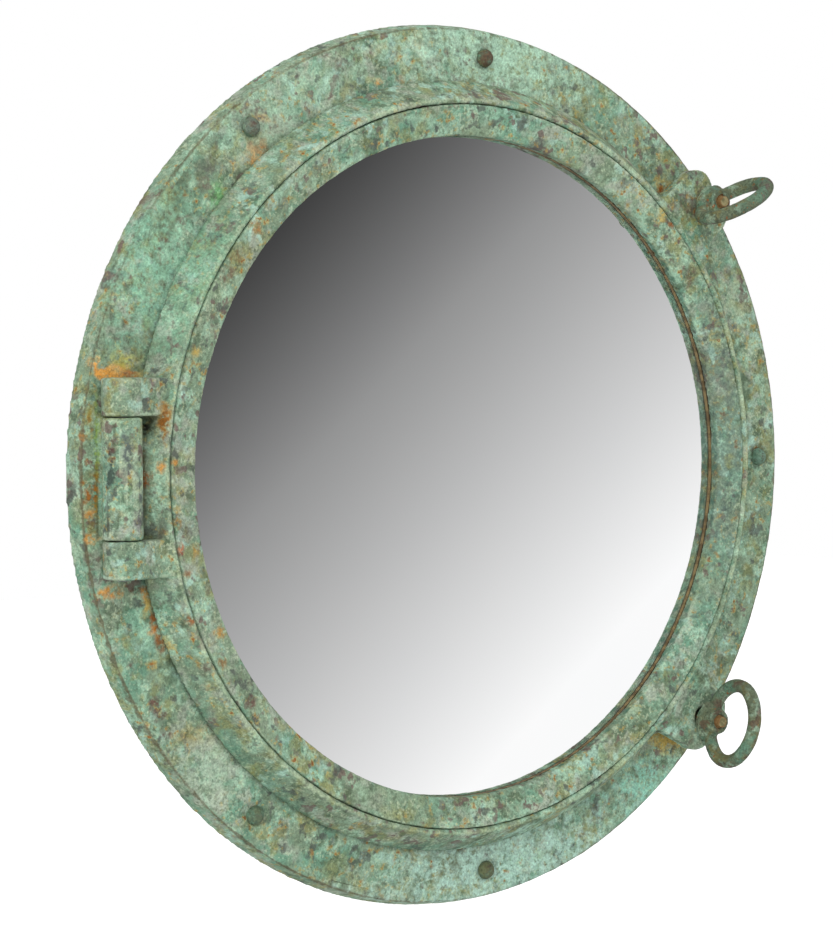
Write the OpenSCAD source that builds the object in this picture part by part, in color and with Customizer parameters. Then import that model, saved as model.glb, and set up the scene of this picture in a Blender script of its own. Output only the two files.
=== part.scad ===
// Porthole mirror: a flanged frame that hangs on a wall and a hinged ring that holds a round mirror.
// X points right, Z up and Y into the wall. The origin is the centre of the ring on the wall plane.
// Each piece is drawn on a bench, lying on its back: x right, y up the wall, z out of the wall.

/* [Frame] */
// Radius of the frame where its rim meets the wall
frame_r = 306.5; // [290:0.5:330]
// Height of the flange face above the wall
face_h = 14; // [12:0.5:18]
// Thickness of the flange plate
flange_t = 4; // [3:0.5:5]
// Thickness of the rim wall
rim_t = 4.5; // [3:0.5:6]
// How far the rim leans in from the wall to the flange face
rim_lean = 3.3; // [1:0.1:4]

/* [Door] */
// Distance from the frame's edge in to the bead of the door ring
door_inset = 51.8; // [46:0.1:56]
// Width of the sloped wall between the bead and the foot of the door ring
slope_w = 12.3; // [8:0.1:14]
// Gap between the flange face and the foot of the door ring
door_gap = 2.5; // [2:0.1:4]
// Width of the bead
bead_w = 5.1; // [4:0.1:6]
// Height of the bead above the flange face
door_rise = 22.5; // [20:0.1:26]

/* [Mirror] */
// Width of the shelf that the retaining ring rests on
shelf_w = 9.1; // [8:0.1:12]
// Width of the mirror glass that lies behind the retaining ring
glass_lap = 12.5; // [8:0.5:16]
// Thickness of the mirror glass
glass_t = 4; // [3:0.5:5]
// Depth of the front of the glass behind the bead
glass_depth = 14.5; // [12:0.1:16]
// Thickness of the gasket between glass and retaining ring
gasket_t = 2; // [1:0.1:3]
// Thickness of the backing board
board_t = 3; // [2:0.1:3.5]
// Drop of the retaining ring's face from the bead to its inner edge
bezel_drop = 4.5; // [3:0.1:6]

/* [Screws] */
// Angles of the flange screws round the ring from the right, as drilled by hand
screw_angles = [0, 85, -85.5, 126.9, -127.2];
// Radius of a flange screw's domed head
dome_r = 6.6; // [5:0.1:7]
// Height of the dome
dome_h = 6.4; // [4:0.1:6.5]
// Radius of the counterbore round the dome
counterbore_r = 7.4; // [7.1:0.1:8.5]
// Depth of the counterbore
counterbore_d = 1; // [0.5:0.1:2]
// Radius of a flange screw's shank
shank_r = 3; // [2.5:0.1:3.5]
// Radius of the small screws behind the door
small_screw_r = 2; // [1.5:0.1:2.3]
// Number of small screws in the retaining ring, and of clips on the board
clip_count = 8; // [4:1:12]

/* [Hinge] */
// Radius of the hinge barrel
barrel_r = 13; // [12:0.1:14.4]
// Gap between the barrel of a door lug and the flange face
barrel_rise = 2; // [0.5:0.1:3]
// Length of the knuckle on the frame
knuckle_l = 78; // [60:1:90]
// Length of each hinge lug on the door
lug_l = 24.5; // [20:0.5:32]
// Gap between the knuckle and each lug
knuckle_gap = 0.6; // [0.4:0.1:1]
// Radius of the hinge pin
pin_r = 4; // [3:0.1:5]

/* [Dogs] */
// Angle of the upper dog round the ring from the right
upper_dog_angle = 41.2; // [38:0.1:45]
// Angle of the lower dog round the ring from the right
lower_dog_angle = -42.1; // [-45:0.1:-38]
// Half width of the door lug on its curved side, where it joins the door ring
ear_root_w = 33; // [30:1:36]
// Half width of the door lug on its curved side, at the tip
ear_tip_w = 24; // [22:0.5:26]
// Half width of the upper door lug on its straight side, at the root and at the tip
upper_flank_w = [29, 27.5];
// Half width of the lower door lug on its straight side, at the root and at the tip
lower_flank_w = [33, 25];
// Thickness of the door lug
ear_t = 11; // [8:0.5:12]
// Half width of the slot in the door lug
slot_w = 6; // [5.5:0.1:7]
// Radius of the dog screw
dog_r = 4.95; // [4:0.05:5.5]
// Pitch of the dog screw's thread
thread_pitch = 1.5; // [1:0.25:2]
// Turns of the dog screw from open to tight
dog_turns = 1.5; // [1:0.5:3]
// Half width of the ring handle along its centre line
handle_a = 27.8; // [24:0.1:30]
// Half length of the ring handle out from the wall
handle_b = 22.8; // [20:0.1:25]
// Radius of the ring handle's bar
handle_bar_r = 4.9; // [4:0.1:6]
// Angle of the upper ring handle's plane
upper_turn = 28; // [0:1:180]
// Angle of the lower ring handle's plane
lower_turn = 77; // [0:1:180]

/* [Hanging] */
// Distance between the two keyholes
keyhole_span = 284; // [240:2:300]
// Radius of a keyhole's round entry
keyhole_r = 5; // [4:0.5:6]
// Half width of a keyhole's slot
keyhole_slot_w = 2.6; // [2:0.1:3]
// Length of a keyhole's slot
keyhole_slot_l = 9; // [6:0.5:12]

/* [Hidden] */
$fn = 96;
fit = 0.02;
running = 0.08;
clear = 0.3;
patina = [0.45, 0.62, 0.52];
plate_h = face_h - flange_t;
rim_top_r = frame_r - rim_lean;
bead_r = frame_r - door_inset;
door_foot_r = bead_r + slope_w;

// The lugs and hinge arms reach this far into the bead
ear_inner_r = bead_r - 2;

// Circle of the flange screws, dogs and hinge, in the middle of the flange that shows
screw_circle_r = (door_foot_r + frame_r) / 2 - 1.75;
hinge_x = screw_circle_r - 3.5;
hinge_h = face_h + barrel_rise + barrel_r;
lug_start = knuckle_l / 2 + knuckle_gap;

// Hanging ring behind the flange, clamped by the flange screws
hanger_t = 1.5;
boss_l = 4;
boss_r = 9;
hanger_top_h = plate_h - boss_l;
nut_t = 3.6;
nut_r = 5.6;

// Door ring
foot_h = face_h + door_gap;
bead_h = face_h + door_rise;
pocket_r = bead_r - bead_w;
glass_r = pocket_r - shelf_w;
sight_r = glass_r - glass_lap;
glass_h = bead_h - glass_depth;
ring_inner_h = bead_h - bezel_drop;
board_h = glass_h - glass_t - board_t;
lip_h = glass_h + gasket_t;
shelf_h = lip_h + clear;
door_bore_r = glass_r + 1.5;
inner_foot_w = 8;
fixing_r = door_bore_r + 4;
clip_t = 1.5;
small_head_r = 3.3;
small_head_t = 1.5;
clip_screw_reach = 6;
ring_wall = 5;
ring_outer_r = pocket_r - clear;
frame_bore_r = fixing_r + small_head_r + 2.7;

// Door lugs, bushes and dog screws, from the wall outwards
dog_travel = thread_pitch * dog_turns;
seat_gap = 0.15;
ear_top_h = bead_h - 1;
ear_bottom_h = ear_top_h - ear_t;
clip_ring_t = 1;
clip_ring_r = 8;
groove_d = 0.8;
clip_ring_h = ear_bottom_h - seat_gap - clip_ring_t;
bush_top_h = clip_ring_h - dog_travel - clear;
bush_r = 13;
spigot_r = 9;
spigot_l = 7;
screw_tip_h = bush_top_h + seat_gap;
washer_t = 1;
washer_r = 11.6;
washer_h = ear_top_h + dog_travel + seat_gap;
handle_base_h = washer_h + washer_t;
handle_boss_r = 11.6;
handle_boss_top_r = 8.8;
handle_boss_l = 11.5;
handle_foot_offset = 5;
ring_sink = 2.7;
handle_centre_h = handle_base_h + handle_b + handle_bar_r - ring_sink;
stud_end_r = 3.9;
stud_end_h = handle_base_h + handle_boss_l + 3.2;

// Lays a piece drawn on the bench against the wall
module on_wall() rotate([90, 0, 0]) children();

// Carries a shape drawn at the centre out to the screw circle
module at_angle(angle, radius = screw_circle_r) rotate([0, 0, angle]) translate([radius, 0, 0]) children();

module round_ring(inner_r, outer_r, low_h, high_h) {
    translate([0, 0, low_h])
        difference() {
            cylinder(r = outer_r, h = high_h - low_h, $fn = 180);
            translate([0, 0, -1]) cylinder(r = inner_r, h = high_h - low_h + 2, $fn = 180);
        }
}

module post(r, low_h, high_h) translate([0, 0, low_h]) cylinder(r = r, h = high_h - low_h);

// Section of the frame casting: rim wall, flange plate and inner lip
module frame_section() {
    polygon([[frame_bore_r, 0], [frame_bore_r, face_h], [rim_top_r - 1, face_h], [rim_top_r, face_h - 0.8],
        [frame_r, 0], [frame_r - rim_t, 0], [rim_top_r - rim_t, plate_h], [frame_bore_r + rim_t, plate_h],
        [frame_bore_r + rim_t, 0]]);
}

// Outline of the knuckle, seen along the hinge axis, with its foot in the flange plate
module knuckle_outline() {
    foot_outer_x = 6 - barrel_r;
    foot_inner_x = barrel_r - 4;
    foot_y = plate_h - hinge_h + 1;
    circle(r = barrel_r);
    polygon([[foot_outer_x, 0], [foot_outer_x, foot_y], [foot_inner_x, foot_y], [foot_inner_x, 0]]);
}

// Outline of a door lug of the hinge: a barrel and an arm that runs from its top into the door ring
module hinge_lug_outline() {
    tangent_angle = 72;
    bead_x = hinge_x - bead_r;
    arm_end_x = bead_x + 14;
    arm_top_y = bead_h - hinge_h - 2;
    arm_low_y = -9;
    arm_low_x = barrel_r * 0.7;
    circle(r = barrel_r);
    polygon([[barrel_r * cos(tangent_angle), barrel_r * sin(tangent_angle)], [0, 0],
        [arm_low_x, arm_low_y], [arm_end_x, arm_low_y], [arm_end_x, arm_top_y], [bead_x, arm_top_y]]);
}

module along_hinge(low_y, high_y) {
    translate([-hinge_x, high_y, hinge_h]) rotate([90, 0, 0]) linear_extrude(high_y - low_y) children();
}

// Open at the bottom, blind in the upper lug
module hinge_hole(r) {
    along_hinge(-lug_start - lug_l - 1, lug_start + lug_l * 0.8) circle(r = r);
}

module frame_casting() {
    color(patina) on_wall() difference() {
        union() {
            rotate_extrude($fn = 180) frame_section();
            for (angle = screw_angles) at_angle(angle) post(boss_r, hanger_top_h, face_h - counterbore_d);
            for (angle = [upper_dog_angle, lower_dog_angle])
                at_angle(angle) post(bush_r, face_h - spigot_l, plate_h + 1);
            along_hinge(-knuckle_l / 2, knuckle_l / 2) knuckle_outline();
        }
        for (angle = screw_angles) at_angle(angle) {
            post(shank_r + running, -1, face_h + 1);
            post(counterbore_r, face_h - counterbore_d, face_h + 1);
        }
        for (angle = [upper_dog_angle, lower_dog_angle])
            at_angle(angle) post(spigot_r + fit, -1, face_h + 1);
        hinge_hole(pin_r + fit);
    }
}

module keyhole() {
    circle(r = keyhole_r);
    translate([-keyhole_slot_w, 0]) square([2 * keyhole_slot_w, keyhole_slot_l]);
    translate([0, keyhole_slot_l]) circle(r = keyhole_slot_w);
}

module hanging_ring() {
    keyhole_y = sqrt(pow(screw_circle_r, 2) - pow(keyhole_span / 2, 2)) - keyhole_slot_l / 2;
    color("dimgray") on_wall() difference() {
        round_ring(frame_bore_r + rim_t + clear, rim_top_r - rim_t - clear,
            hanger_top_h - hanger_t, hanger_top_h);
        for (angle = screw_angles) at_angle(angle) post(shank_r + running, 0, face_h);
        for (angle = [upper_dog_angle, lower_dog_angle]) at_angle(angle) post(bush_r + clear, 0, face_h);
        for (side = [-1, 1])
            translate([side * keyhole_span / 2, keyhole_y, 0]) linear_extrude(face_h) keyhole();
    }
}

// Domed head seated in its counterbore, on a shank that reaches through the nut
module flange_screw() {
    seat_h = face_h - counterbore_d;
    dome_curve_r = (pow(dome_r, 2) + pow(dome_h, 2)) / (2 * dome_h);
    rotate_extrude() intersection() {
        translate([0, seat_h + dome_h - dome_curve_r]) circle(r = dome_curve_r, $fn = 96);
        translate([0, seat_h]) square([dome_r, dome_h]);
    }
    post(shank_r, hanger_top_h - hanger_t - nut_t - 0.4, seat_h);
}

module flange_screws() {
    color(patina) on_wall() for (angle = screw_angles) at_angle(angle) flange_screw();
}

module flange_nuts() {
    color("dimgray") on_wall() for (angle = screw_angles) at_angle(angle) difference() {
        translate([0, 0, hanger_top_h - hanger_t - nut_t]) cylinder(r = nut_r, h = nut_t, $fn = 6);
        post(shank_r + fit, 0, face_h);
    }
}

module hinge_pin() color("dimgray") on_wall() hinge_hole(pin_r);

module door_seal() {
    color("black") on_wall() round_ring(frame_bore_r + 1, frame_bore_r + 6, face_h, foot_h - clear);
}

// Threaded bush under a door lug
module dog_bush(angle) {
    color("darkgoldenrod") on_wall() at_angle(angle) difference() {
        union() {
            post(bush_r, face_h, bush_top_h);
            post(spigot_r, face_h - spigot_l, face_h + 1);
        }
        post(dog_r + running, 0, bush_top_h + 1);
    }
}

module upper_dog_bush() dog_bush(upper_dog_angle);
module lower_dog_bush() dog_bush(lower_dog_angle);

// Section of the door ring: sloped outer wall, rounded bead, pocket and inner foot
module door_section() {
    bead_edge = 1.5;
    bead_side = 0.5;
    bead_shoulder = 0.6;
    seam_side = 0.4;
    seam_shoulder = 0.7;
    polygon([[door_foot_r, foot_h], [bead_r, bead_h - bead_edge],
        [bead_r - bead_side, bead_h - bead_shoulder], [bead_r - bead_edge, bead_h],
        [pocket_r + bead_edge, bead_h],
        [pocket_r + seam_side, bead_h - seam_side], [pocket_r, bead_h - seam_shoulder],
        [pocket_r, shelf_h], [door_bore_r, shelf_h], [door_bore_r, board_h],
        [door_bore_r + inner_foot_w, board_h], [door_bore_r + inner_foot_w, foot_h]]);
}

// Outline of a door lug along +x: a straight side at +y, a curved one at -y, two round lobes, a closed slot
module ear_outline(flank_w) {
    lobe_r = 14.5;
    lobe_x = screw_circle_r - 1;
    curve_x = screw_circle_r - 11;
    curve_r = 18;
    root_x = curve_x - sqrt(pow(curve_r, 2) - pow(ear_tip_w + curve_r - ear_root_w, 2));
    slot_inner_x = screw_circle_r - 5;
    difference() {
        union() {
            polygon([[ear_inner_r, flank_w[0]], [lobe_x, flank_w[1]], [lobe_x, -ear_tip_w],
                [curve_x, -ear_tip_w], [root_x, -ear_root_w], [ear_inner_r, -ear_root_w]]);
            for (y = [flank_w[1] - lobe_r, lobe_r - ear_tip_w]) translate([lobe_x, y]) circle(r = lobe_r);
        }
        translate([curve_x, -ear_tip_w - curve_r]) circle(r = curve_r);
        for (x = [slot_inner_x, screw_circle_r]) translate([x, 0]) circle(r = slot_w);
        translate([slot_inner_x, -slot_w]) square([screw_circle_r - slot_inner_x, 2 * slot_w]);
    }
}

// Door lug at an angle round the ring
module ear(angle, flank_w) {
    rotate([0, 0, angle]) translate([0, 0, ear_bottom_h]) linear_extrude(ear_t) ear_outline(flank_w);
}

module door_ring() {
    color(patina) on_wall() difference() {
        union() {
            rotate_extrude($fn = 180) door_section();
            ear(upper_dog_angle, upper_flank_w);
            mirror([0, 1, 0]) ear(-lower_dog_angle, lower_flank_w);
            difference() {
                union() {
                    along_hinge(lug_start, lug_start + lug_l) hinge_lug_outline();
                    along_hinge(-lug_start - lug_l, -lug_start) hinge_lug_outline();
                }
                post(ear_inner_r, 0, bead_h);
            }
        }
        hinge_hole(pin_r + running);
        for (i = [0 : clip_count - 1]) {
            at_angle((i + 0.5) * 360 / clip_count, fixing_r) {
                post(small_screw_r + running, 0, shelf_h + 1);
                post(small_head_r + running, 0, board_h + small_head_t + fit);
            }
            at_angle(i * 360 / clip_count, fixing_r) post(small_screw_r + fit, 0, board_h + clip_screw_reach);
        }
    }
}

// Section of the retaining ring: face sloped towards the mirror, lip over the gasket, rim on the shelf
module retaining_section() {
    sight_edge = 1;
    seam_side = 0.6;
    seam_low = 0.4;
    hollow_outer_r = fixing_r - 3.2;
    hollow_inner_r = sight_r + ring_wall;
    polygon([[sight_r, lip_h], [sight_r, ring_inner_h - sight_edge], [sight_r + sight_edge, ring_inner_h],
        [ring_outer_r - seam_side, bead_h - seam_low], [ring_outer_r, bead_h - 2 * seam_low],
        [ring_outer_r, shelf_h], [hollow_outer_r, shelf_h], [hollow_outer_r, ring_inner_h - 1.5],
        [hollow_inner_r, ring_inner_h - 3.6], [hollow_inner_r, lip_h]]);
}

module retaining_ring() {
    color(patina) on_wall() difference() {
        rotate_extrude($fn = 180) retaining_section();
        for (i = [0 : clip_count - 1])
            at_angle((i + 0.5) * 360 / clip_count, fixing_r) post(small_screw_r + fit, 0, shelf_h + 6);
    }
}

// Small screw driven from behind: head towards the wall
module small_screw(head_h, reach) {
    post(small_head_r, head_h, head_h + small_head_t);
    post(small_screw_r, head_h + small_head_t, head_h + small_head_t + reach);
}

module retaining_screws() {
    reach = shelf_h + 5.5 - board_h - small_head_t;
    color("silver") on_wall() for (i = [0 : clip_count - 1])
        at_angle((i + 0.5) * 360 / clip_count, fixing_r) small_screw(board_h, reach);
}

module mirror_glass() {
    color("lightsteelblue") on_wall()
        translate([0, 0, glass_h - glass_t]) cylinder(r = glass_r, h = glass_t, $fn = 180);
}

module glass_gasket() {
    color("sienna") on_wall() round_ring(sight_r + 0.5, glass_r, glass_h, lip_h);
}

module backing_board() {
    color("burlywood") on_wall() translate([0, 0, board_h]) cylinder(r = glass_r, h = board_t, $fn = 180);
}

module board_clips() {
    clip_reach = 13;
    clip_w = 14;
    clip_end = small_head_r + 0.2;
    color("silver") on_wall() for (i = [0 : clip_count - 1]) at_angle(i * 360 / clip_count, fixing_r)
        difference() {
            translate([-clip_reach, -clip_w / 2, board_h - clip_t])
                cube([clip_reach + clip_end, clip_w, clip_t]);
            post(small_screw_r + running, 0, board_h + 1);
        }
}

module clip_screws() {
    color("silver") on_wall() for (i = [0 : clip_count - 1])
        at_angle(i * 360 / clip_count, fixing_r)
            small_screw(board_h - clip_t - small_head_t, clip_t + clip_screw_reach - 0.5);
}

module dog_washer(angle) {
    color(patina) on_wall() at_angle(angle) translate([0, 0, washer_h]) difference() {
        cylinder(r = washer_r, h = washer_t);
        translate([0, 0, -1]) cylinder(r = dog_r + running, h = washer_t + 2);
    }
}

module upper_washer() dog_washer(upper_dog_angle);
module lower_washer() dog_washer(lower_dog_angle);

// One arc of the bar, round an axis along -y, swept from one angle to another
module bar_arc(centre, radius, start, sweep) {
    translate([centre[0], 0, centre[1]]) rotate([90, 0, 0]) rotate([0, 0, start])
        rotate_extrude(angle = sweep) translate([radius, 0]) circle(r = handle_bar_r, $fn = 32);
}

// Oval bar from four quarter turns that meet smoothly, standing in the xz plane round its own centre
module oval_bar() {
    end_x = (handle_a - handle_b) / (2 - sqrt(2));
    end_r = handle_a - end_x;
    side_r = end_r + end_x * sqrt(2);
    for (side = [0, 180]) rotate([0, side, 0]) {
        bar_arc([end_x, 0], end_r, -45, 90);
        bar_arc([0, -end_x], side_r, 45, 90);
    }
}

// Ring handle: the oval bar stands on a boss, which is flat underneath and drilled for the screw
module ring_handle(angle, turn) {
    color(patina) on_wall() at_angle(angle) rotate([0, 0, turn - angle]) difference() {
        union() {
            translate([0, 0, handle_centre_h]) oval_bar();
            translate([0, 0, handle_base_h])
                cylinder(r1 = handle_boss_r, r2 = handle_boss_top_r, h = handle_boss_l);
            for (side = [-1, 1]) translate([side * handle_foot_offset, 0, handle_base_h])
                cylinder(r1 = handle_boss_r - 1, r2 = handle_bar_r, h = handle_boss_l - 2);
        }
        post(dog_r + fit, 0, handle_centre_h);
        post(handle_a, handle_base_h - handle_bar_r, handle_base_h);
    }
}

module upper_ring_handle() ring_handle(upper_dog_angle, upper_turn);
module lower_ring_handle() ring_handle(lower_dog_angle, lower_turn);

// Screw fixed in the ring handle: its front end is peened over, its tip rests just above the bush
module dog_screw(angle) {
    color("peru") on_wall() at_angle(angle) difference() {
        union() {
            post(dog_r, screw_tip_h, handle_base_h + handle_boss_l - 1);
            post(stud_end_r, handle_base_h, stud_end_h);
        }
        difference() {
            post(dog_r + 1, clip_ring_h, clip_ring_h + clip_ring_t);
            post(dog_r - groove_d, clip_ring_h, clip_ring_h + clip_ring_t);
        }
    }
}

module upper_dog_screw() dog_screw(upper_dog_angle);
module lower_dog_screw() dog_screw(lower_dog_angle);

// Clip in the screw's groove behind the door lug, which keeps the screw captive
module retaining_clip(angle) {
    color("silver") on_wall() at_angle(angle) difference() {
        post(clip_ring_r, clip_ring_h + fit, clip_ring_h + clip_ring_t - fit);
        post(dog_r - groove_d + fit, 0, bead_h);
    }
}

module upper_retaining_clip() retaining_clip(upper_dog_angle);
module lower_retaining_clip() retaining_clip(lower_dog_angle);

frame_casting();
hanging_ring();
flange_screws();
flange_nuts();
hinge_pin();
door_seal();
upper_dog_bush();
lower_dog_bush();
door_ring();
retaining_ring();
retaining_screws();
mirror_glass();
glass_gasket();
backing_board();
board_clips();
clip_screws();
upper_washer();
lower_washer();
upper_ring_handle();
lower_ring_handle();
upper_dog_screw();
lower_dog_screw();
upper_retaining_clip();
lower_retaining_clip();
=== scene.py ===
"""Looks of the porthole mirror: worn verdigris castings round a mirror, seen from the left."""
import math

import bpy
from mathutils import Matrix, Vector


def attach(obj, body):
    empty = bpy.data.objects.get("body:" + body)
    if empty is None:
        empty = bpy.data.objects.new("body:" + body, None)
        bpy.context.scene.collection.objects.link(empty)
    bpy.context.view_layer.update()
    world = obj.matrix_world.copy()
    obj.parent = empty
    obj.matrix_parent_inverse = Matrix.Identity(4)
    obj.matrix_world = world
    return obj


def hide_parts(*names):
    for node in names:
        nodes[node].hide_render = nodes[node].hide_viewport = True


MM = 0.001
MATH, VECTOR_MATH = "ShaderNodeMath", "ShaderNodeVectorMath"

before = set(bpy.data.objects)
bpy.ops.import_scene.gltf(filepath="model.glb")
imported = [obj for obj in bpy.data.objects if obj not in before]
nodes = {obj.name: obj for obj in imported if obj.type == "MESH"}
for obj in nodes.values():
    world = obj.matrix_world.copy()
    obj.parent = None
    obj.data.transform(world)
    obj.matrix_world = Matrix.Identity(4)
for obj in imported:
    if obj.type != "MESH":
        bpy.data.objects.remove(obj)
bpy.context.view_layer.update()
scene = bpy.context.scene
scene.view_settings.view_transform = "Standard"

# Camera fitted to the rim, the bead, the mirror's edge and the screws of the photograph
CAMERA_AZIMUTH = math.radians(-37.54)
CAMERA_ELEVATION = math.radians(2.065)
CAMERA_ROLL = math.radians(-0.307)
CAMERA_DISTANCE = 2119.83 * MM
PHOTO_WIDTH, PHOTO_HEIGHT = 833, 944
FOCAL_PIXELS = 3035.72
CENTRE_X, CENTRE_Y = 446.42, 465.99
SENSOR = 36.0


def on_circle(radius, angle):
    """The x and z of a point on a circle round the mirror's centre, by its angle from the right."""
    return radius * math.cos(math.radians(angle)), radius * math.sin(math.radians(angle))


def linear(hex_colour):
    """The linear colour that an sRGB hex value stands for."""
    channels = [int(hex_colour[i:i + 2], 16) / 255 for i in (1, 3, 5)]
    return [c / 12.92 if c <= 0.04045 else ((c + 0.055) / 1.055) ** 2.4 for c in channels] + [1.0]


def add(tree, kind, inputs=(), **settings):
    """Adds a node with its settings. Inputs come by name or number, or in a row from the first one on.

    Each input is a value, or a socket to link from, or a node whose first output is linked."""
    made = tree.nodes.new(kind)
    for name, value in settings.items():
        setattr(made, name, value)
    for key, value in inputs.items() if isinstance(inputs, dict) else enumerate(inputs):
        source = value.outputs[0] if isinstance(value, bpy.types.Node) else value
        if isinstance(source, bpy.types.NodeSocket):
            tree.links.new(source, made.inputs[key])
        else:
            made.inputs[key].default_value = source
    return made


def fineness(size):
    """The scale of a noise whose blotches have a size in mm."""
    return 1 / (size * MM)


def new_material(name):
    """An empty node material and the surface shader that ends it."""
    material = bpy.data.materials.new(name)
    material.use_nodes = True
    material.node_tree.nodes.clear()
    shader = add(material.node_tree, "ShaderNodeBsdfPrincipled")
    add(material.node_tree, "ShaderNodeOutputMaterial", {"Surface": shader})
    return material, material.node_tree, shader


def laid_over(tree, colour, layer_colour, amount):
    """The colour with a layer of another colour mixed over it."""
    mixed = add(tree, "ShaderNodeMix", {0: amount, 6: colour, 7: layer_colour}, data_type="RGBA")
    return mixed.outputs[2]


# Layers of the patina, from the metal outwards. Each is a noise of its real blotch size in mm, kept to
# patches of another size, and shows where the noise passes from low to high. Layers of one draw share
# their noise, so that a halo lies round its speck
PATINA_LAYERS = (
    # name, draw, blotch mm, low, high, patch mm, patch low, patch high, colour, strength
    ("teal ground", 0, 22.0, 0.44, 0.60, 120.0, 0.34, 0.56, "#679a82", 0.75),
    ("mint crust", 1, 12.0, 0.46, 0.60, 80.0, 0.34, 0.54, "#a3c9ad", 0.75),
    ("grey crust", 2, 13.0, 0.48, 0.61, 100.0, 0.42, 0.56, "#a5ab9b", 0.70),
    ("olive film", 3, 12.0, 0.48, 0.61, 65.0, 0.44, 0.57, "#898a55", 0.75),
    ("dark green film", 4, 10.0, 0.51, 0.62, 55.0, 0.40, 0.55, "#50644a", 0.70),
    ("fine dark grain", 5, 2.6, 0.53, 0.62, 30.0, 0.36, 0.56, "#566750", 0.60),
    ("fine pale grain", 6, 2.4, 0.54, 0.62, 25.0, 0.36, 0.56, "#b9c8a8", 0.50),
    ("pale cyan bloom", 7, 9.0, 0.52, 0.63, 50.0, 0.46, 0.58, "#a9d0bf", 0.65),
    ("bare purple metal", 8, 9.0, 0.57, 0.63, 60.0, 0.46, 0.57, "#6f5e57", 0.85),
    ("bare grey metal", 9, 9.0, 0.56, 0.63, 50.0, 0.45, 0.56, "#535a53", 0.80),
    ("ochre halo", 10, 4.6, 0.55, 0.65, 40.0, 0.44, 0.56, "#b3a05a", 0.60),
    ("rust specks", 10, 4.6, 0.635, 0.69, 40.0, 0.46, 0.58, "#8f5524", 0.85),
)
# The forged rings and washers are handled, so they keep less crust and show more brown metal
DOG_LAYERS = (
    ("teal ground", 0, 12.0, 0.46, 0.58, 40.0, 0.36, 0.54, "#5b8a74", 0.65),
    ("olive film", 1, 9.0, 0.48, 0.58, 40.0, 0.42, 0.54, "#706c46", 0.80),
    ("grey green crust", 2, 7.0, 0.52, 0.60, 30.0, 0.42, 0.54, "#8fa890", 0.65),
    ("brown metal", 3, 8.0, 0.55, 0.60, 30.0, 0.44, 0.56, "#5b4a3c", 0.80),
    ("bare purple metal", 4, 9.0, 0.55, 0.62, 35.0, 0.46, 0.56, "#6a5852", 0.70),
    ("fine dark grain", 5, 2.2, 0.53, 0.62, 20.0, 0.36, 0.56, "#434c3c", 0.60),
    ("rust specks", 6, 3.6, 0.63, 0.67, 25.0, 0.44, 0.56, "#8f5127", 0.80),
)
# Finest detail of the patina, which the render just shows
FINEST = 0.45 * MM
# The noises beside the layers: what each is added to a seed, and its size in mm
PATCH_DRAW = 40
GRAIN_DRAW, GRAIN_SIZE = 0, 1.3
CLOUD_DRAW, CLOUD_SIZE = 20, 14.0
RAGGED_DRAW, RAGGED_SIZE = 7, 6.0
BREAK_DRAW, BREAK_SIZE = 9, 3.0
PIT_DRAW, PIT_SIZE, PIT_DEPTH = 3, 3.2, 0.9
DIRT, RUBBED_CRUST = "#4a5038", "#b4c6a8"


def veined_noise(tree, place, draw, size, roughness=0.52):
    """Ragged noise of a size in mm, down to the finest detail of the patina."""
    detail = max(1.0, math.log2(size * MM / FINEST))
    look = {"Scale": fineness(size), "Detail": detail, "Roughness": roughness}
    made = add(tree, "ShaderNodeTexNoise", {"Vector": place, "W": draw, **look}, noise_dimensions="4D")
    return made.outputs[0]


def passed(tree, value, low, high, strength=1.0):
    """How far the value has passed from low to high, from none to the strength."""
    made = add(tree, "ShaderNodeMapRange", (value, low, high, 0.0, strength), interpolation_type="SMOOTHSTEP")
    return made.outputs[0]


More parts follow.
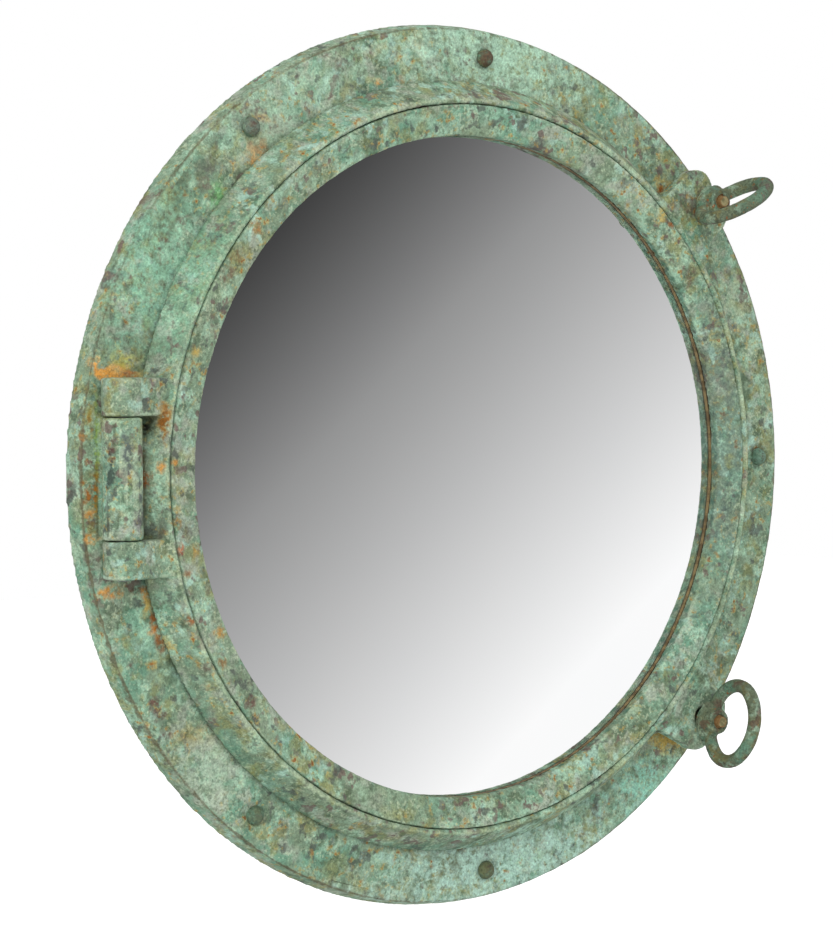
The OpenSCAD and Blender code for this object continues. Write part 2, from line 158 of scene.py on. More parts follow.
def patina(name, base, seed, stains=(), lines=(), layers=PATINA_LAYERS):
    """Verdigris on a sand casting: a dry mineral crust in layered blotches, matt and slightly pitted."""
    material, tree, shader = new_material(name)
    place = add(tree, "ShaderNodeTexCoord").outputs["Object"]
    colour = linear(base)
    for label, draw, blotch, low, high, patch, patch_low, patch_high, tint, strength in layers:
        shown = passed(tree, veined_noise(tree, place, seed + draw, blotch), low, high, strength)
        patch_place = {"Vector": place, "W": seed + draw + PATCH_DRAW}
        patches = add(tree, "ShaderNodeTexNoise", {**patch_place, "Scale": fineness(patch), "Detail": 3.0},
                      noise_dimensions="4D", label=label)
        kept = passed(tree, patches, patch_low, patch_high)
        amount = add(tree, MATH, (shown, kept), operation="MULTIPLY")
        colour = laid_over(tree, colour, linear(tint), amount)
    grain = veined_noise(tree, place, seed + GRAIN_DRAW, GRAIN_SIZE, 0.62)
    clouds = veined_noise(tree, place, seed + CLOUD_DRAW, CLOUD_SIZE, 0.5)
    shade = add(tree, MATH, (clouds, 0.7, 0.65), operation="MULTIPLY_ADD")
    # Dirt sits in the hollows and the edges are rubbed pale here and there
    hollow = add(tree, "ShaderNodeAttribute", attribute_name="hollow").outputs["Fac"]
    ragged = veined_noise(tree, place, seed + RAGGED_DRAW, RAGGED_SIZE)
    chance = add(tree, MATH, (ragged, 1.6, -0.8), operation="MULTIPLY_ADD")
    worn = add(tree, MATH, (hollow, chance), operation="ADD")
    colour = laid_over(tree, colour, linear(DIRT), passed(tree, worn, 0.35, 1.1, 0.6))
    on_edge, here_and_there = passed(tree, worn, -0.5, -1.3, 0.45), passed(tree, clouds, 0.48, 0.6)
    rubbed = add(tree, MATH, (on_edge, here_and_there), operation="MULTIPLY")
    colour = laid_over(tree, colour, linear(RUBBED_CRUST), rubbed)
    # Lines along the turned edges: dirt or wear, and some painted highlight and shade
    flat_place = add(tree, VECTOR_MATH, (place, (1, 0, 1)), operation="MULTIPLY")
    for shift, line_radius, half_width, tint, strength in lines:
        centred = add(tree, VECTOR_MATH, (flat_place, (shift * MM, 0, 0)), operation="SUBTRACT")
        radius = add(tree, VECTOR_MATH, (centred,), operation="LENGTH").outputs["Value"]
        beyond = add(tree, MATH, (radius, line_radius * MM), operation="SUBTRACT")
        off = add(tree, MATH, (beyond,), operation="ABSOLUTE")
        share = add(tree, MATH, (off, half_width * MM), operation="DIVIDE")
        reach = add(tree, MATH, (ragged, 4.0, share), operation="MULTIPLY_ADD")
        colour = laid_over(tree, colour, linear(tint), passed(tree, reach, 3.2, 2.2, strength))
    # Stains are broken up inside by finer noise
    broken = passed(tree, veined_noise(tree, place, seed + BREAK_DRAW, BREAK_SIZE), 0.30, 0.55)
    for centre, radii, tint, strength in stains:
        local = add(tree, "ShaderNodeMapping", vector_type="TEXTURE",
                    inputs={0: place, 1: [c * MM for c in centre], 3: [r * MM for r in radii]})
        share = add(tree, VECTOR_MATH, (local,), operation="LENGTH").outputs["Value"]
        reach = add(tree, MATH, (ragged, 3.2, share), operation="MULTIPLY_ADD")
        inside = passed(tree, reach, 2.8, 1.6, strength)
        amount = add(tree, MATH, (inside, broken), operation="MULTIPLY")
        colour = laid_over(tree, colour, linear(tint), amount)
    # Fine grain of the crust, drawn at about 1 mm, its real half millimetre being too fine to show
    fine = add(tree, MATH, (grain, 1.5, 0.25), operation="MULTIPLY_ADD")
    speckle = add(tree, MATH, (fine, shade), operation="MULTIPLY")
    grey = add(tree, "ShaderNodeCombineColor", (speckle, speckle, speckle))
    grained = add(tree, "ShaderNodeMix", {0: 1.0, 6: colour, 7: grey}, data_type="RGBA",
                  blend_type="MULTIPLY")
    tree.links.new(grained.outputs[2], shader.inputs["Base Color"])
    roughness = add(tree, "ShaderNodeMapRange", (grain, 0.3, 0.7, 0.62, 0.9))
    tree.links.new(roughness.outputs[0], shader.inputs["Roughness"])
    shader.inputs["Specular IOR Level"].default_value = 0.35
    # Pits and crust stand about 0.2 mm proud or deep
    pits = veined_noise(tree, place, seed + PIT_DRAW, PIT_SIZE)
    relief = add(tree, "ShaderNodeBump", {"Strength": 0.8, "Distance": PIT_DEPTH * MM, "Height": pits})
    tree.links.new(relief.outputs[0], shader.inputs["Normal"])
    return material


# Stains where water stood, and some marks of painted light and shade as noted: centre and reach in mm, colour
# and strength
# The soot colour also paints the rings of shade round the flange screws
RUST, ORANGE, OCHRE, OLIVE, SOOT_AND_SHADE, PLUM = "#90521f", "#d49340", "#bfa558", "#8a8b4a", "#41493a", "#664a42"
BRIGHT_GREEN, DARK_BROWN, STREAK_GREY = "#8fae4e", "#54351c", "#5f6a63"
FRAME_STAINS = (
    ((-270, -14, 73), (14, 6, 9), "#a99c4c", 1.3),
    ((-291.5, -14, 71), (3.5, 6, 8), "#e09d48", 1.5),
    ((-286, -14, 67), (8, 6, 5), "#e09d48", 1.8),
    ((-277, -14, 67), (12, 6, 5.5), "#e0a04c", 1.8),
    ((-265, -14, 65.5), (8, 6, 4.5), "#a8662c", 1.5),
    ((-256, -16, 66), (8, 8, 4), OCHRE, 0.8),
    ((-291.5, -14, 30), (2, 5, 26), BRIGHT_GREEN, 0.9),
    ((-292, -14, -12), (2, 5, 24), "#84762c", 0.9),
    ((-296, -14, 40), (5, 6, 16), "#a39a50", 0.8),
    ((-301, -14, 26), (3, 5, 3), "#a0713c", 0.8),
    ((-297, -14, 12), (4, 6, 4), RUST, 0.9),
    ((-295.5, -14, -8), (6, 6, 10), "#9a5f26", 1.0),
    ((-296, -14, -22), (5, 6, 6), ORANGE, 0.9),
    ((-294, -14, -30), (5, 6, 8), "#7d6a2e", 0.8),
    ((-294, -14, -39), (7, 6, 4), ORANGE, 0.8),
    ((-281, -14, -73), (12, 9, 5), ORANGE, 0.9),
    ((-262, -14, -72), (10, 9, 4), DARK_BROWN, 0.9),
    ((-257, -14, -76), (5, 9, 6), ORANGE, 0.8),
    ((-254, -14.5, -84), (4, 5, 12), OCHRE, 0.9),
    ((-251, -15, -91), (4, 6, 6), RUST, 1.0),
    ((-249, -14, -99), (6, 6, 7), "#b5742f", 1.0),
    ((-246, -15, -109), (6, 6, 5), RUST, 0.9),
    ((-252, -14, -122), (7, 6, 4), OCHRE, 0.8),
    ((-252, -14, -122), (3, 6, 2.5), RUST, 0.9),
    ((-268, -14, -121), (5, 6, 5), PLUM, 0.8),
    ((-163, -14, 215), (9, 6, 5), RUST, 1.0),
    ((-166, -14, 212), (13, 7, 8), ORANGE, 0.7),
    ((-170, -14, 206), (4, 6, 7), ORANGE, 0.8),
    ((-164, -14, 234), (9, 6, 4), ORANGE, 0.7),
    ((-49, -14, 266), (4, 6, 3), RUST, 1.0),
    ((-67, -14, 262), (4, 6, 3), ORANGE, 0.8),
    ((-248, -14, -155), (7, 6, 7), PLUM, 1.0),
    ((-251, -14, -145), (5, 6, 4), PLUM, 1.0),
    ((-242, -14, -167), (7, 6, 4), PLUM, 0.9),
    ((-204, -14, 200), (12, 6, 8), "#5f6058", 0.9),
    ((-209, -14, 190), (6, 6, 8), PLUM, 0.7),
    ((-251, -14, 121), (4, 6, 4), RUST, 0.9),
    ((-253, -14, 98), (6, 6, 8), "#7c7c3c", 0.9),
    ((-197, -14, 181), (10, 6, 14), "#6fae6a", 0.7),
    ((-258, -14, 136), (5, 6, 6), "#62706a", 0.9),
    ((-98, -14, 272), (10, 6, 5), PLUM, 0.7),
    ((-218, -14, -171), (20, 8, 9), OCHRE, 0.4),
    ((187, -14, 200), (12, 7, 8), OCHRE, 0.8),
    ((189, -14, 197), (6, 6, 4), RUST, 1.0),
    ((193, -14, -207), (17, 9, 11), OCHRE, 2.0),
    # Broad pale patches of crust follow. The first, on the upper left, and the ones at the top and bottom are
    # also painted light, paler where the flange takes less light
    ((-248, -14, 130), (60, 9, 70), "#92cbac", 0.55),
    ((40, -14, 285), (110, 9, 50), "#b0d6bc", 0.8),
    ((-150, -14, 240), (70, 9, 50), "#accaae", 0.45),
    ((40, -14, -285), (130, 9, 50), "#b0d4c4", 0.85),
    ((172, -14, -238), (38, 9, 28), "#8fcab4", 0.85),
    ((-205, -14, -192), (36, 9, 30), "#bccfb8", 0.55),
    ((-293, -35, 21), (4, 6, 9), PLUM, 1.2),
    ((-285, -41, 18), (5, 6, 16), STREAK_GREY, 1.2),
    ((-293, -34, 4), (5, 6, 16), "#44544a", 1.2),
    ((-274, -40, -18), (4, 5, 14), STREAK_GREY, 1.2),
    ((-277, -42, -26), (5, 5, 9), "#5e5a5c", 1.0),
    ((-283, -43, -33), (16, 5, 5), "#c3c9bd", 0.6),
)
DOOR_STAINS = (
    ((-225, -25, 130), (50, 40, 80), "#7dba9a", 0.45),
    # Painted shade: darker green along the lower part of the door's sloped wall, which faces down
    ((-186, -20, -190), (72, 9, 72), "#5a8a74", 0.5),
    ((-60, -20, -262), (140, 9, 14), "#557c68", 0.7),
    # Painted light: a pale patch on the door's wall where the knuckle's shadow falls
    ((-257, -27, -6), (8, 12, 34), "#b0d8bc", 0.8),
    # Painted shadow: a thin dark brown line along the knuckle's right edge
    ((-262, -23, 0), (2.0, 8, 42), DARK_BROWN, 0.8),
    # Painted shadow: a near-black mark for the deep gap at the top of the knuckle
    ((-260, -22, 34), (6, 10, 8), "#26241a", 1.0),
    ((-261, -25, 1), (4, 6, 5), RUST, 0.9),
    ((-260, -26, -4), (6, 6, 3), RUST, 0.8),
    ((-253, -33, 40), (6, 7, 15), "#a08c50", 0.8),
    ((-252.5, -34, 36), (3, 6, 14), "#8a5a24", 1.2),
    ((-254, -31, 46), (6, 6, 5), "#8a6a38", 0.9),
    ((-255.5, -33.5, 6.5), (3, 5, 4), ORANGE, 0.9),
    ((-255, -32, -36), (3, 6, 12), "#5c5a4a", 0.8),
    ((176, -33, 188), (9, 8, 5), OLIVE, 0.7),
    ((205, -35.5, 184), (17, 5, 12), PLUM, 0.7),
    ((201, -35.5, 172), (14, 5, 5), OLIVE, 0.8),
    ((-243, -18, -109), (8, 8, 6), OCHRE, 0.7),
    ((-222, -32, -123), (7, 7, 6), PLUM, 0.9),
    ((-68, -21, 255), (13, 8, 6), SOOT_AND_SHADE, 0.6),
    ((-176, -18, -198), (12, 8, 8), OLIVE, 0.5),
    ((-236, -36.5, -93), (4, 5, 4), RUST, 0.9),
)
RING_STAINS = (
    ((-182, -35, 161), (6, 6, 6), "#a07040", 0.9),
    ((-196, -35, 143), (6, 6, 6), "#7c5a34", 0.9),
    ((-203, -34, 130), (8, 6, 8), "#73624e", 0.9),
    ((-215, -33, 94), (6, 6, 12), "#75675c", 0.8),
    # Darker over the whole right side of the ring
    ((232, -34, 20), (45, 20, 150), "#5d7268", 0.65),
    ((-188, -34, -149), (8, 6, 5), PLUM, 0.9),
    ((177, -35, 171), (5, 6, 5), RUST, 1.0),
    ((171, -35, 177), (7, 6, 6), OCHRE, 0.8),
    ((199, -34, 132), (6, 6, 12), PLUM, 0.6),
    ((-230, -35, 81), (5, 6, 4), OCHRE, 0.9),
    ((-246, -35.4, 9.6), (3, 5, 2.5), ORANGE, 0.8),
    ((-245, -35, -21), (4, 5, 5), OCHRE, 0.7),
    ((-245, -35, -28), (4, 5, 4), "#9a7a3a", 0.9),
    ((-236, -34, -36), (5, 5, 6), "#5c5a52", 0.9),
    ((-242, -35.4, -47), (3.5, 5, 6), "#b9663a", 1.0),
    ((-230, -33, -48), (5, 5, 6), "#a0803c", 0.8),
    ((-237, -35, -62), (4, 5, 4), RUST, 0.8),
    ((-211, -33, -102), (6, 5, 5), "#b48a48", 0.9),
    ((-211, -35, -121), (5, 5, 4), "#8f6a38", 0.8),
)
# Painted shade and dirt round the flange screws: a dark ring round each head, where its counterbore lies in
# shadow
SCREW_CIRCLE, FLANGE_FACE = 285, -14
SCREW_SHADE_AND_DIRT = []
for screw_angle in (0, 85, -85.5, 126.9, -127.2):
    screw_x, screw_z = on_circle(SCREW_CIRCLE, screw_angle)
    SCREW_SHADE_AND_DIRT.append(((screw_x, FLANGE_FACE, screw_z), (10, 10, 10), SOOT_AND_SHADE, 0.9))
# Lines along turned edges: shift of the centre to the right, radius, half width in mm, colour and strength.
# The second one of the frame is painted shade: a dark band on the flange beside the bead on the right, where
# the gap beside the bead lies in shadow
FRAME_LINES = ((0, 302.4, 1.0, "#5a5038", 0.75), (16, 255.5, 2.6, "#36503f", 0.75))
# The ring's first line is painted shade: darker teal over its inner wall by the glass. The second is the dark
# seam at its outer edge
RING_LINES = ((0, 227.6, 0.35, "#4f7a66", 0.8), (0, 248.9, 0.4, "#46604f", 0.35))
# The door's first line is a painted highlight along the top of its bead, the second painted shade at the foot
# of its wall on the flange
DOOR_LINES = ((0, 252.4, 1.2, "#b5c79f", 0.3), (0, 266.5, 0.9, "#56684f", 0.4))

FRAME_PATINA = patina("verdigris_on_cast_frame", "#83997f", 11.0, FRAME_STAINS + tuple(SCREW_SHADE_AND_DIRT),
                      FRAME_LINES)
DOOR_PATINA = patina("verdigris_on_cast_door", "#7d9278", 23.0, DOOR_STAINS, DOOR_LINES)
RING_PATINA = patina("verdigris_on_retaining_ring", "#869b80", 37.0, RING_STAINS, RING_LINES)
DOG_PATINA = patina("verdigris_on_forged_dogs", "#646f58", 53.0, layers=DOG_LAYERS)
SCREW_STAINS = (
    ((25, -17, 284), (12, 12, 12), "#5d4d3c", 1.1),
    ((-171, -17, 228), (12, 12, 12), "#6b7a6c", 1.3),
    ((22, -17, -284), (12, 12, 12), "#62694a", 1.2),
    ((285, -17, 0), (12, 12, 12), "#6d8f7c", 1.0),
    ((-172, -17, -227), (12, 12, 12), "#5f6e55", 1.0),
)
SCREW_PATINA = patina("verdigris_on_screw_heads", "#5d6a55", 71.0, SCREW_STAINS, layers=DOG_LAYERS)


def silvered_mirror():
    """Silvered float glass: a perfectly smooth face that shows the room with a faint cool tint."""
    material, tree, shader = new_material("silvered_float_glass")
    place = add(tree, "ShaderNodeTexCoord").outputs["Object"]
    haze = add(tree, "ShaderNodeTexNoise", {"Vector": place, "Scale": fineness(90), "Detail": 2.0})
    tint = laid_over(tree, linear("#fbfbfb"), linear("#f8f9fa"), haze)
    tree.links.new(tint, shader.inputs["Base Color"])
    shader.inputs["Metallic"].default_value = 1.0
    shader.inputs["Roughness"].default_value = 0.0
    return material


def mottled(name, dark, light, size, metallic, roughness, relief=0.2):
    """A plain finish that wanders between two colours, with a little relief of the same size."""
    material, tree, shader = new_material(name)
    place = add(tree, "ShaderNodeTexCoord").outputs["Object"]
    cloud = add(tree, "ShaderNodeTexNoise", {"Vector": place, "Scale": fineness(size), "Detail": 6.0})
    shade = add(tree, "ShaderNodeMapRange", (cloud, 0.35, 0.65))
    tint = laid_over(tree, linear(dark), linear(light), shade)
    tree.links.new(tint, shader.inputs["Base Color"])
    shader.inputs["Metallic"].default_value = metallic
    shader.inputs["Roughness"].default_value = roughness
    bump = add(tree, "ShaderNodeBump", {"Strength": relief, "Distance": 0.3 * MM, "Height": cloud})
    tree.links.new(bump.outputs[0], shader.inputs["Normal"])
    return material


# Zinc-plated steel, dull, with a faint bluish spangle
ZINC = mottled("zinc_plated_steel", "#8d8f8d", "#b3b5b4", 4.0, 1.0, 0.42)
# Turned brass gone dull brown
BRASS = mottled("dull_turned_brass", "#7d6a3c", "#a08a52", 5.0, 1.0, 0.45)


# Depth in front of the wall at which the gasket is clean, and where it is dark below the metal's lip
GASKET_CLEAN_Y, GASKET_DARK_Y = -23.1, -23.7


def gasket_compound():
    """Old brown gasket compound round the glass, dark where it meets the metal."""
    material, tree, shader = new_material("brown_gasket_rubber")
    place = add(tree, "ShaderNodeTexCoord").outputs["Object"]
    cloud = veined_noise(tree, place, 3.0, 5.0)
    brown = laid_over(tree, linear("#6c5a3a"), linear("#968257"), passed(tree, cloud, 0.4, 0.6))
    depth = add(tree, "ShaderNodeSeparateXYZ", {0: place}).outputs[1]
    edge = passed(tree, depth, GASKET_CLEAN_Y * MM, GASKET_DARK_Y * MM, 0.85)
    tree.links.new(laid_over(tree, brown, linear("#2f2a1e"), edge), shader.inputs["Base Color"])
    shader.inputs["Roughness"].default_value = 0.6
    relief = add(tree, "ShaderNodeBump", {"Strength": 0.4, "Distance": 0.3 * MM, "Height": cloud})
    tree.links.new(relief.outputs[0], shader.inputs["Normal"])
    return material


GASKET = gasket_compound()
# Moulded black rubber seal
SEAL = mottled("black_moulded_rubber", "#17181a", "#232527", 6.0, 0.0, 0.6)
# The dog screws: their circle, angles, the radius where rust starts and is full, and where the shank starts
DOG_CIRCLE, UPPER_ANGLE, LOWER_ANGLE = 285.0, 41.2, -42.1
RUST_STARTS, RUST_FULL = 4.5, 5.1
SHANK_Y = -48


def peened_end(name, angle):
    """End of a dog screw: dull brass, tan in the middle, with orange rust round its edge."""
    material, tree, shader = new_material(name)
    place = add(tree, "ShaderNodeTexCoord").outputs["Object"]
    dog_x, dog_z = on_circle(DOG_CIRCLE * MM, angle)
    local = add(tree, VECTOR_MATH, (place, (dog_x, 0, dog_z)), operation="SUBTRACT")
    flat = add(tree, VECTOR_MATH, (local, (1, 0, 1)), operation="MULTIPLY")
    radius = add(tree, VECTOR_MATH, (flat,), operation="LENGTH").outputs["Value"]
    ragged = veined_noise(tree, place, angle, 2.5)
    reach = add(tree, MATH, (ragged, 3 * MM, radius), operation="MULTIPLY_ADD")
    tan = laid_over(tree, linear("#a69b70"), linear("#7c7650"), passed(tree, ragged, 0.4, 0.6))
    rust = passed(tree, reach, RUST_STARTS * MM, RUST_FULL * MM, 0.8)
    rusty = laid_over(tree, tan, linear("#946c40"), rust)
    depth = add(tree, "ShaderNodeSeparateXYZ", {0: local}).outputs[1]
    shank = add(tree, MATH, (depth, SHANK_Y * MM), operation="GREATER_THAN")
    dull = add(tree, MATH, (shank, 0.9), operation="MULTIPLY")
    colour = laid_over(tree, rusty, linear("#6d6247"), dull)
    tree.links.new(colour, shader.inputs["Base Color"])
    shader.inputs["Metallic"].default_value = 0.2
    shader.inputs["Roughness"].default_value = 0.6
    relief = add(tree, "ShaderNodeBump", {"Strength": 0.5, "Distance": 0.3 * MM, "Height": ragged})
    tree.links.new(relief.outputs[0], shader.inputs["Normal"])
    return material


UPPER_END = peened_end("rusty_brass_upper_end", UPPER_ANGLE)
LOWER_END = peened_end("rusty_brass_lower_end", LOWER_ANGLE)


# Length of the board's fibres and of its darker areas, in mm
FIBRE, BOARD_CLOUD = 2.5, 45


def fibreboard():
    """Hardboard: pressed brown wood fibre, with short fibres in every direction."""
    material, tree, shader = new_material("pressed_hardboard")
    place = add(tree, "ShaderNodeTexCoord").outputs["Object"]
    tangle = {"Scale": fineness(FIBRE), "Detail": 8.0, "Roughness": 0.75, "Distortion": 1.2}
    fibres = add(tree, "ShaderNodeTexNoise", {"Vector": place, **tangle})
    clouds = add(tree, "ShaderNodeTexNoise", {"Vector": place, "Scale": fineness(BOARD_CLOUD), "Detail": 3.0})
    shade = add(tree, "ShaderNodeMapRange", (fibres, 0.3, 0.7))
    fine = laid_over(tree, linear("#6b4d31"), linear("#8d6b47"), shade)
    uneven = add(tree, "ShaderNodeMapRange", (clouds, 0.3, 0.7, 0.0, 0.35))
    tree.links.new(laid_over(tree, fine, linear("#5a4029"), uneven), shader.inputs["Base Color"])
    shader.inputs["Roughness"].default_value = 0.72
    bump = add(tree, "ShaderNodeBump", {"Strength": 0.3, "Distance": 0.2 * MM, "Height": fibres})
    tree.links.new(bump.outputs[0], shader.inputs["Normal"])
    return material


BOARD = fibreboard()
MIRROR = silvered_mirror()


# Shares of a wave's depth that its crest stands proud of the surface and its trough lies below it
PROUD, DEEP = 0.45, -0.55


def worn_casting_tree():
    """Uneven cast surface: long waves, lumps and pits, and a measure of how hollow each place is."""
    tree = bpy.data.node_groups.new("worn casting", "GeometryNodeTree")
    face = tree.interface
    face.new_socket("Geometry", in_out="INPUT", socket_type="NodeSocketGeometry")
    sizes = (("Wave length", 60 * MM), ("Wave depth", 0.5 * MM), ("Lump length", 11 * MM),
             ("Lump depth", 0.3 * MM), ("Pit length", 4 * MM), ("Pit depth", 0.3 * MM),
             ("Hollow depth", 0.5 * MM), ("Seed", 0.0))
    for name, value in sizes:
        socket = face.new_socket(name, in_out="INPUT", socket_type="NodeSocketFloat")
        socket.default_value = value
    reach = face.new_socket("Hollow reach", in_out="INPUT", socket_type="NodeSocketInt")
    reach.default_value = 8
    face.new_socket("Finish", in_out="INPUT", socket_type="NodeSocketMaterial")
    face.new_socket("Geometry", in_out="OUTPUT", socket_type="NodeSocketGeometry")
    given = add(tree, "NodeGroupInput").outputs
    place = add(tree, "GeometryNodeInputPosition").outputs[0]
    normal = add(tree, "GeometryNodeInputNormal").outputs[0]
    depth = 0.0
    for i, kind in enumerate(("Wave", "Lump", "Pit")):
        scale = add(tree, MATH, (1.0, given[kind + " length"]), operation="DIVIDE")
        offset = add(tree, MATH, (given["Seed"], 10.0 * i), operation="ADD")
        waves = {"Vector": place, "W": offset, "Scale": scale, "Detail": 2.0}
        noise = add(tree, "ShaderNodeTexNoise", waves, noise_dimensions="4D")
        shape = add(tree, "ShaderNodeMapRange", (noise, 0.25, 0.75, PROUD, DEEP))
        depth = add(tree, MATH, (shape, given[kind + " depth"], depth), operation="MULTIPLY_ADD")
    pressed = add(tree, VECTOR_MATH, {0: normal, "Scale": depth}, operation="SCALE")
    moved = add(tree, "GeometryNodeSetPosition", {"Geometry": given["Geometry"], "Offset": pressed})
    blurred = add(tree, "GeometryNodeBlurAttribute", {"Iterations": given["Hollow reach"]},
                  data_type="FLOAT_VECTOR")
    tree.links.new(place, next(s for s in blurred.inputs if s.type == "VECTOR"))
    averaged = next(s for s in blurred.outputs if s.type == "VECTOR")
    away = add(tree, VECTOR_MATH, (averaged, place), operation="SUBTRACT")
    height = add(tree, VECTOR_MATH, (away, normal), operation="DOT_PRODUCT").outputs["Value"]
    share = add(tree, MATH, (height, given["Hollow depth"]), operation="DIVIDE").outputs[0]
    stored = add(tree, "GeometryNodeStoreNamedAttribute", {"Geometry": moved, "Name": "hollow"},
                 data_type="FLOAT", domain="POINT")
    tree.links.new(share, next(s for s in stored.inputs if s.name == "Value" and s.type == "VALUE"))
    smooth = add(tree, "GeometryNodeSetShadeSmooth", {"Geometry": stored})
    solid = add(tree, "GeometryNodeRealizeInstances", {"Geometry": smooth})
    painted = add(tree, "GeometryNodeSetMaterial", {"Geometry": solid, "Material": given["Finish"]})
    add(tree, "NodeGroupOutput", {"Geometry": painted})
    return tree


WORN_CASTING = worn_casting_tree()


def plain_mesh(rough, name):
    """The evaluated object as a plain mesh piece with no modifiers left. The working object goes."""
    graph = bpy.context.evaluated_depsgraph_get()
    mesh = bpy.data.meshes.new_from_object(rough.evaluated_get(graph))
    piece = bpy.data.objects.new(name, mesh)
    scene.collection.objects.link(piece)
    bpy.data.objects.remove(rough)
    return piece


def worn_piece(name, node, body, slot, finish, grain, passes=3, kept=1.0, **sizes):
    """A worn copy of a CAD node. Edges are rounded by a grain in mm, in so many passes, and faces uneven.

    The share of its triangles that is kept and the sizes of the surface's waves may be given too."""
    rough = bpy.data.objects.new(name + "_rough", nodes[node].data.copy())
    scene.collection.objects.link(rough)
    weld = rough.modifiers.new("weld", "WELD")
    weld.merge_threshold = 0.01 * MM
    remesh = rough.modifiers.new("grain", "REMESH")
    remesh.mode = "VOXEL"
    remesh.voxel_size = grain * MM
    rounding = rough.modifiers.new("rounding", "SMOOTH")
    rounding.factor = 0.5
    rounding.iterations = passes
    if kept < 1:
        thinning = rough.modifiers.new("thinning", "DECIMATE")
        thinning.ratio = kept
    worn = rough.modifiers.new("worn", "NODES")
    worn.node_group = WORN_CASTING
    sockets = {s.name: s.identifier for s in WORN_CASTING.interface.items_tree if s.in_out == "INPUT"}
    for key, value in sizes.items():
        worn[sockets[key.replace("_", " ").capitalize()]] = value
    worn[sockets["Finish"]] = finish
    piece = plain_mesh(rough, name)
    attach(piece, body)
    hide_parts(node)
    return piece


worn_piece("worn_frame", "frame_casting", "frame", "frame_patina", FRAME_PATINA, 1.2, 9, 0.42, seed=1.0)
worn_piece("worn_door", "door_ring", "door", "door_patina", DOOR_PATINA, 1.4, seed=2.0)
worn_piece("worn_retaining_ring", "retaining_ring", "door", "ring_patina", RING_PATINA, 1.2, seed=3.0)
for which, seed in (("upper", 4.0), ("lower", 5.0)):
    worn_piece(which + "_worn_ring", which + "_ring_handle", which + "_dog", "dog_patina", DOG_PATINA, 0.7,
               seed=seed, wave_length=22 * MM, wave_depth=0.4 * MM, lump_length=6 * MM, lump_depth=0.25 * MM,
               pit_length=2.2 * MM, pit_depth=0.15 * MM, hollow_depth=0.35 * MM)
worn_piece("worn_flange_screws", "flange_screws", "frame", "screw_patina", SCREW_PATINA, 0.45,
           seed=6.0, wave_length=9 * MM, wave_depth=0.2 * MM, lump_length=4 * MM, lump_depth=0.15 * MM,
           pit_length=1.5 * MM, pit_depth=0.1 * MM, hollow_depth=0.25 * MM)

CARRIED = {
    "hanging_ring": ZINC, "flange_nuts": ZINC, "hinge_pin": ZINC, "door_seal": SEAL, "upper_dog_bush": BRASS,
    "lower_dog_bush": BRASS, "retaining_screws": ZINC, "mirror_glass": MIRROR, "glass_gasket": GASKET,
    "backing_board": BOARD, "board_clips": ZINC, "clip_screws": ZINC, "upper_washer": DOG_PATINA,
    "lower_washer": DOG_PATINA, "upper_dog_screw": UPPER_END, "lower_dog_screw": LOWER_END,
    "upper_retaining_clip": ZINC, "lower_retaining_clip": ZINC,
}
for name, finish in CARRIED.items():
    nodes[name].data.materials.clear()
    nodes[name].data.materials.append(finish)

# Pale floor well below the mirror, which shows as plain white to the camera
FLOOR_Z, FLOOR_HALF, FLOOR_LIFT = -0.62, 6.0, 0.55
floor_mesh = bpy.data.meshes.new("floor")
corners = [(x * FLOOR_HALF, y * FLOOR_HALF, FLOOR_Z) for x, y in ((-1, -1), (1, -1), (1, 1), (-1, 1))]
floor_mesh.from_pydata(corners, [], [(0, 1, 2, 3)])
floor = bpy.data.objects.new("floor", floor_mesh)
scene.collection.objects.link(floor)
floor_finish, floor_tree, floor_shader = new_material("pale_floor")
floor_shader.inputs["Base Color"].default_value = linear("#f4f4f4")
floor_shader.inputs["Roughness"].default_value = 0.9
floor_shader.inputs["Emission Color"].default_value = (1, 1, 1, 1)
to_camera = add(floor_tree, "ShaderNodeLightPath").outputs["Is Camera Ray"]
lift = add(floor_tree, MATH, (to_camera, FLOOR_LIFT), operation="MULTIPLY")
floor_tree.links.new(lift.outputs[0], floor_shader.inputs["Emission Strength"])
floor_mesh.materials.append(floor_finish)
floor.visible_glossy = False

# Camera
back = Vector((math.sin(CAMERA_AZIMUTH) * math.cos(CAMERA_ELEVATION),
               -math.cos(CAMERA_AZIMUTH) * math.cos(CAMERA_ELEVATION), math.sin(CAMERA_ELEVATION)))
camera_data = bpy.data.cameras.new("camera")
camera_data.sensor_width = SENSOR
camera_data.lens = FOCAL_PIXELS * SENSOR / PHOTO_HEIGHT
camera_data.shift_x = (PHOTO_WIDTH / 2 - CENTRE_X) / PHOTO_HEIGHT
camera_data.shift_y = (CENTRE_Y - PHOTO_HEIGHT / 2) / PHOTO_HEIGHT
camera_data.clip_start, camera_data.clip_end = 0.05, 50
camera = bpy.data.objects.new("camera", camera_data)
scene.collection.objects.link(camera)
turned = (-back).to_track_quat("-Z", "Y").to_matrix() @ Matrix.Rotation(CAMERA_ROLL, 3, "Z")
camera.matrix_world = Matrix.Translation(back * CAMERA_DISTANCE) @ turned.to_4x4()
scene.camera = camera

# Soft light: a large panel high on the left, a weaker one on the right, both aimed at the mirror. Each row is
# a name, a place and a diameter in metres, and a power in watts
PANELS = (("left_panel", (-1.8, -1.8, 1.5), 1.6, 36.0), ("right_panel", (2.0, -1.6, 0.6), 1.8, 3.0))
for name, place, size, power in PANELS:
    light = bpy.data.lights.new(name, "AREA")
    light.shape = "DISK"
    light.size = size
    light.energy = power
    lamp = bpy.data.objects.new(name, light)
    scene.collection.objects.link(lamp)
    lamp.visible_glossy = False
    aimed = (-Vector(place)).to_track_quat("-Z", "Y").to_matrix()
    lamp.matrix_world = Matrix.Translation(place) @ aimed.to_4x4()

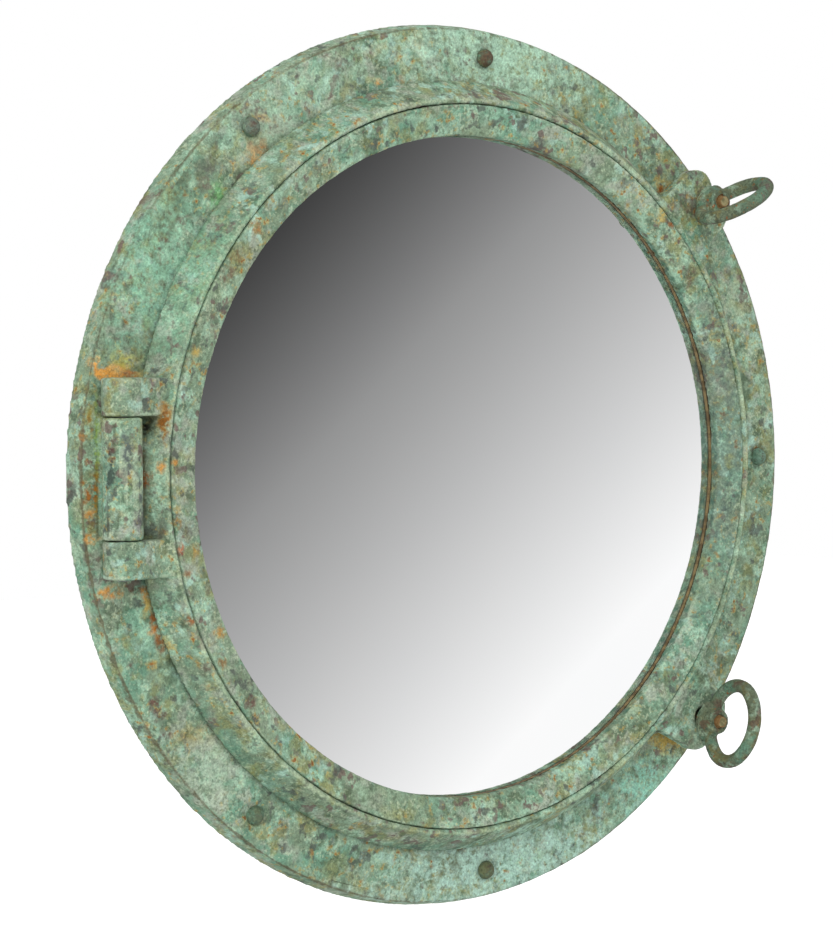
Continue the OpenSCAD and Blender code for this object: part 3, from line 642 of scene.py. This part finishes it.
# The room that the mirror shows: dark grey at one side and white at the other, and back again round the room
world = bpy.data.worlds.new("room")
scene.world = world
world.use_nodes = True
room = world.node_tree
room.nodes.clear()
ray = add(room, "ShaderNodeLightPath")
direction = add(room, "ShaderNodeTexCoord").outputs["Generated"]
right = Vector((math.cos(CAMERA_AZIMUTH), -math.sin(CAMERA_AZIMUTH), 0))
up = Vector((-back.x * math.tan(CAMERA_ELEVATION), back.y * math.tan(CAMERA_ELEVATION), 1.0))
DOWN_SHARE = 0.95
across = right - up * DOWN_SHARE
along = add(room, VECTOR_MATH, (direction, across), operation="DOT_PRODUCT").outputs["Value"]
# The ramp's length and start across the photograph, in its pixels, as shares of a full direction
RAMP_PIXELS, RAMP_START = 930, 400
RAMP_SPAN = RAMP_PIXELS / FOCAL_PIXELS
RAMP_MIDDLE = (CENTRE_X + DOWN_SHARE * CENTRE_Y - RAMP_START) / FOCAL_PIXELS
shifted = add(room, MATH, (along, RAMP_MIDDLE), operation="ADD")
folded = add(room, MATH, (shifted, RAMP_SPAN), operation="PINGPONG")
share = add(room, MATH, (folded, RAMP_SPAN), operation="DIVIDE")
# The ramp's tone to the eye rises evenly from dark to middle, and then more slowly to white. It is middle
# and white at these shares of the ramp's length, and the power turns a tone into light
DARK_TONE, MIDDLE_TONE, MIDDLE_AT, WHITE_AT = 0.145, 0.587, 0.372, 0.878
TONE_POWER = 2.2
steep = add(room, "ShaderNodeMapRange", (share, 0.0, MIDDLE_AT, DARK_TONE, MIDDLE_TONE))
gentle = add(room, "ShaderNodeMapRange", (share, MIDDLE_AT, WHITE_AT, 0.0, 1 - MIDDLE_TONE))
tone = add(room, MATH, (steep, gentle), operation="ADD")
ramp = add(room, MATH, (tone, TONE_POWER), operation="POWER")
ROOM_LIGHT = 0.72
lit = add(room, "ShaderNodeBackground", {"Color": (1, 1, 1, 1), "Strength": ROOM_LIGHT})
seen = add(room, "ShaderNodeBackground", {"Color": (1, 1, 1, 1), "Strength": 1.0})
shown = add(room, "ShaderNodeBackground", {"Color": ramp, "Strength": 1.0})
is_glossy, is_camera = ray.outputs["Is Glossy Ray"], ray.outputs["Is Camera Ray"]
glossy = add(room, "ShaderNodeMixShader", (is_glossy, lit, shown))
final = add(room, "ShaderNodeMixShader", (is_camera, glossy, seen))
add(room, "ShaderNodeOutputWorld", {"Surface": final})
